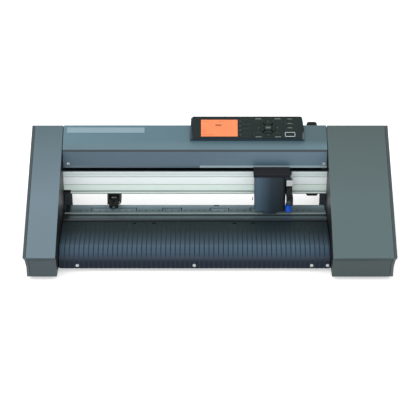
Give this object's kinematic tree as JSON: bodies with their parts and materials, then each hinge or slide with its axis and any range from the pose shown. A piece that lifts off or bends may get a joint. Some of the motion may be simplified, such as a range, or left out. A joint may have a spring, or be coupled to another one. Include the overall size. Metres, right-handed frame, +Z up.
{
  "type": "vinyl cutter",
  "caption": "Desktop drum-feed vinyl cutter: sloped side covers, ribbed front apron, rail with blade carriage, pinch rollers and a tilted control panel.",
  "frame": {"origin": "middle of the footprint, on the surface the feet stand on", "axes": "+X to the operator's right, +Y to the rear, +Z up"},
  "size_m": [0.672, 0.338, 0.2156],
  "materials": {
    "cover_grey": "fine satin texture",
    "top_blue_grey": "satin paint",
    "apron_black": "glossy, ribbed",
    "chassis_steel": "dark coated sheet",
    "rail_aluminium": "clear anodised",
    "platen_grey": "semi gloss",
    "mat_light": "soft strip",
    "black_plastic": "satin",
    "carriage_grey": "satin",
    "steel": "ground",
    "grit_steel": "knurled grit",
    "rubber_black": "matt",
    "panel_dark": "satin",
    "key_rubber": "satin",
    "screen": "backlit display",
    "board_green": "circuit board",
    "motor_black": "satin",
    "blue_cap": "polished",
    "screw_white": "bright",
    "cable_grey": "ribbon"
  },
  "bodies": {
    "machine": {"base_chassis": "chassis_steel", "feet": "rubber_black", "side_frames": "chassis_steel", "left_cover": "cover_grey", "right_cover": "cover_grey", "side_panels": "cover_grey", "top_cover": "top_blue_grey", "rear_cover": "top_blue_grey", "front_apron": "apron_black", "platen": "platen_grey", "cutting_mat": "mat_light", "y_rail": "rail_aluminium", "rail_brackets": "chassis_steel", "drive_belt": "rubber_black", "drive_motors": "motor_black", "shaft_bearings": "steel", "sensors": "black_plastic", "flat_cable": "cable_grey", "panel_housing": "panel_dark", "panel_face": "panel_dark", "lcd_module": "screen", "circuit_boards": "board_green", "rear_connectors": "black_plastic", "power_supply": "rail_aluminium", "screws": "screw_white"},
    "carriage": {"carriage_chassis": "steel", "carriage_cover": "carriage_grey"},
    "tool": {"tool_arm": "black_plastic", "blade_holder": "blue_cap"},
    "blade": {"blade": "steel"},
    "clamp_knob": {"clamp_knob": "carriage_grey"},
    "grit_shaft": {"grit_shaft": "grit_steel"},
    "feed_pinion": {"feed_pinion": "steel"},
    "motor_pulley": {"motor_pulley": "steel"},
    "idler_pulley": {"idler_pulley": "steel"},
    "media_lever": {"media_lever": "black_plastic"},
    "power_switch": {"power_switch": "black_plastic"},
    "roller_carrier_left": {"push_roller_carrier_left": "black_plastic"},
    "roller_arm_left": {"push_roller_arm_left": "black_plastic"},
    "roller_wheel_left": {"push_roller_wheel_left": "rubber_black"},
    "roller_carrier_right": {"push_roller_carrier_right": "black_plastic"},
    "roller_arm_right": {"push_roller_arm_right": "black_plastic"},
    "roller_wheel_right": {"push_roller_wheel_right": "rubber_black"},
    "soft_key_1": {"soft_key_1": "key_rubber"},
    "soft_key_2": {"soft_key_2": "key_rubber"},
    "soft_key_3": {"soft_key_3": "key_rubber"},
    "soft_key_4": {"soft_key_4": "key_rubber"},
    "side_key_1": {"side_key_1": "key_rubber"},
    "side_key_2": {"side_key_2": "key_rubber"},
    "side_key_3": {"side_key_3": "key_rubber"},
    "side_key_4": {"side_key_4": "key_rubber"},
    "top_left_key": {"top_left_key": "key_rubber"},
    "top_right_key": {"top_right_key": "key_rubber"},
    "low_left_key": {"low_left_key": "key_rubber"},
    "low_right_key": {"low_right_key": "key_rubber"},
    "right_key": {"right_key": "key_rubber"},
    "up_key": {"up_key": "key_rubber"},
    "left_key": {"left_key": "key_rubber"},
    "down_key": {"down_key": "key_rubber"},
    "enter_key": {"enter_key": "key_rubber"}
  },
  "joints": [
    {"name": "carriage_slide", "type": "slide", "parent": "machine", "child": "carriage", "axis": [1, 0, 0], "range_m": [-0.335, 0.06]},
    {"name": "tool_slide", "type": "slide", "parent": "carriage", "child": "tool", "axis": [0, 0, -1], "range_m": [0, 0.0024], "stiffness_N_per_m": 150, "springref_m": -0.003},
    {"name": "blade_swivel", "type": "hinge", "parent": "tool", "child": "blade", "pos_m": [0.1486, -0.006, 0.064], "axis": [0, 0, 1], "continuous": true},
    {"name": "clamp_knob_turn", "type": "hinge", "parent": "tool", "child": "clamp_knob", "pos_m": [0.1486, -0.017, 0.082], "axis": [0, 1, 0], "range_deg": [0, 270]},
    {"name": "grit_shaft_spin", "type": "hinge", "parent": "machine", "child": "grit_shaft", "pos_m": [0, 0.0098, 0.0432], "axis": [1, 0, 0], "continuous": true},
    {"name": "feed_pinion_spin", "type": "hinge", "parent": "machine", "child": "feed_pinion", "pos_m": [0.25, -0.02418, 0.031], "axis": [1, 0, 0], "continuous": true},
    {"name": "motor_pulley_spin", "type": "hinge", "parent": "machine", "child": "motor_pulley", "pos_m": [0.196, 0.048, 0.133], "axis": [0, 0, 1], "range_deg": [-1560, 300]},
    {"name": "idler_pulley_spin", "type": "hinge", "parent": "machine", "child": "idler_pulley", "pos_m": [-0.262, 0.048, 0.133], "axis": [0, 0, 1], "range_deg": [-1560, 300]},
    {"name": "media_lever_turn", "type": "hinge", "parent": "machine", "child": "media_lever", "pos_m": [0, 0.056, 0.066], "axis": [-1, 0, 0], "range_deg": [0, 30]},
    {"name": "roller_slide_left", "type": "slide", "parent": "machine", "child": "roller_carrier_left", "axis": [1, 0, 0], "range_m": [-0.055, 0.2]},
    {"name": "roller_arm_left_drop", "type": "hinge", "parent": "roller_carrier_left", "child": "roller_arm_left", "pos_m": [-0.183, 0.04, 0.0642], "axis": [1, 0, 0], "range_deg": [0, 5.2]},
    {"name": "roller_wheel_left_spin", "type": "hinge", "parent": "roller_arm_left", "child": "roller_wheel_left", "pos_m": [-0.183, 0.0098, 0.0642], "axis": [1, 0, 0], "continuous": true},
    {"name": "roller_slide_right", "type": "slide", "parent": "machine", "child": "roller_carrier_right", "axis": [1, 0, 0], "range_m": [-0.03, 0.04]},
    {"name": "roller_arm_right_drop", "type": "hinge", "parent": "roller_carrier_right", "child": "roller_arm_right", "pos_m": [0.113, 0.04, 0.0642], "axis": [1, 0, 0], "range_deg": [0, 5.2]},
    {"name": "roller_wheel_right_spin", "type": "hinge", "parent": "roller_arm_right", "child": "roller_wheel_right", "pos_m": [0.113, 0.0098, 0.0642], "axis": [1, 0, 0], "continuous": true},
    {"name": "power_switch_rock", "type": "hinge", "parent": "machine", "child": "power_switch", "pos_m": [0.304, 0.163, 0.036], "axis": [1, 0, 0], "range_deg": [0, 16]},
    {"name": "soft_key_1_press", "type": "slide", "parent": "machine", "child": "soft_key_1", "axis": [0, 0.5229, -0.8524], "range_m": [0, 0.0008], "stiffness_N_per_m": 400, "springref_m": -0.0002},
    {"name": "soft_key_2_press", "type": "slide", "parent": "machine", "child": "soft_key_2", "axis": [0, 0.5229, -0.8524], "range_m": [0, 0.0008], "stiffness_N_per_m": 400, "springref_m": -0.0002},
    {"name": "soft_key_3_press", "type": "slide", "parent": "machine", "child": "soft_key_3", "axis": [0, 0.5229, -0.8524], "range_m": [0, 0.0008], "stiffness_N_per_m": 400, "springref_m": -0.0002},
    {"name": "soft_key_4_press", "type": "slide", "parent": "machine", "child": "soft_key_4", "axis": [0, 0.5229, -0.8524], "range_m": [0, 0.0008], "stiffness_N_per_m": 400, "springref_m": -0.0002},
    {"name": "side_key_1_press", "type": "slide", "parent": "machine", "child": "side_key_1", "axis": [0, 0.5229, -0.8524], "range_m": [0, 0.0008], "stiffness_N_per_m": 400, "springref_m": -0.0002},
    {"name": "side_key_2_press", "type": "slide", "parent": "machine", "child": "side_key_2", "axis": [0, 0.5229, -0.8524], "range_m": [0, 0.0008], "stiffness_N_per_m": 400, "springref_m": -0.0002},
    {"name": "side_key_3_press", "type": "slide", "parent": "machine", "child": "side_key_3", "axis": [0, 0.5229, -0.8524], "range_m": [0, 0.0008], "stiffness_N_per_m": 400, "springref_m": -0.0002},
    {"name": "side_key_4_press", "type": "slide", "parent": "machine", "child": "side_key_4", "axis": [0, 0.5229, -0.8524], "range_m": [0, 0.0008], "stiffness_N_per_m": 400, "springref_m": -0.0002},
    {"name": "top_left_key_press", "type": "slide", "parent": "machine", "child": "top_left_key", "axis": [0, 0.5229, -0.8524], "range_m": [0, 0.0008], "stiffness_N_per_m": 400, "springref_m": -0.0002},
    {"name": "top_right_key_press", "type": "slide", "parent": "machine", "child": "top_right_key", "axis": [0, 0.5229, -0.8524], "range_m": [0, 0.0008], "stiffness_N_per_m": 400, "springref_m": -0.0002},
    {"name": "low_left_key_press", "type": "slide", "parent": "machine", "child": "low_left_key", "axis": [0, 0.5229, -0.8524], "range_m": [0, 0.0008], "stiffness_N_per_m": 400, "springref_m": -0.0002},
    {"name": "low_right_key_press", "type": "slide", "parent": "machine", "child": "low_right_key", "axis": [0, 0.5229, -0.8524], "range_m": [0, 0.0008], "stiffness_N_per_m": 400, "springref_m": -0.0002},
    {"name": "right_key_press", "type": "slide", "parent": "machine", "child": "right_key", "axis": [0, 0.5229, -0.8524], "range_m": [0, 0.0008], "stiffness_N_per_m": 400, "springref_m": -0.0002},
    {"name": "up_key_press", "type": "slide", "parent": "machine", "child": "up_key", "axis": [0, 0.5229, -0.8524], "range_m": [0, 0.0008], "stiffness_N_per_m": 400, "springref_m": -0.0002},
    {"name": "left_key_press", "type": "slide", "parent": "machine", "child": "left_key", "axis": [0, 0.5229, -0.8524], "range_m": [0, 0.0008], "stiffness_N_per_m": 400, "springref_m": -0.0002},
    {"name": "down_key_press", "type": "slide", "parent": "machine", "child": "down_key", "axis": [0, 0.5229, -0.8524], "range_m": [0, 0.0008], "stiffness_N_per_m": 400, "springref_m": -0.0002},
    {"name": "enter_key_press", "type": "slide", "parent": "machine", "child": "enter_key", "axis": [0, 0.5229, -0.8524], "range_m": [0, 0.0008], "stiffness_N_per_m": 400, "springref_m": -0.0002}
  ],
  "couplings": [
    {"joint": "feed_pinion_spin", "follows": "grit_shaft_spin", "ratio": -3.5},
    {"joint": "motor_pulley_spin", "follows": "carriage_slide", "rad_per_m": 79.365},
    {"joint": "idler_pulley_spin", "follows": "carriage_slide", "rad_per_m": 79.365},
    {"joint": "roller_arm_left_drop", "follows": "media_lever_turn", "ratio": 0.17},
    {"joint": "roller_arm_right_drop", "follows": "media_lever_turn", "ratio": 0.17}
  ]
}
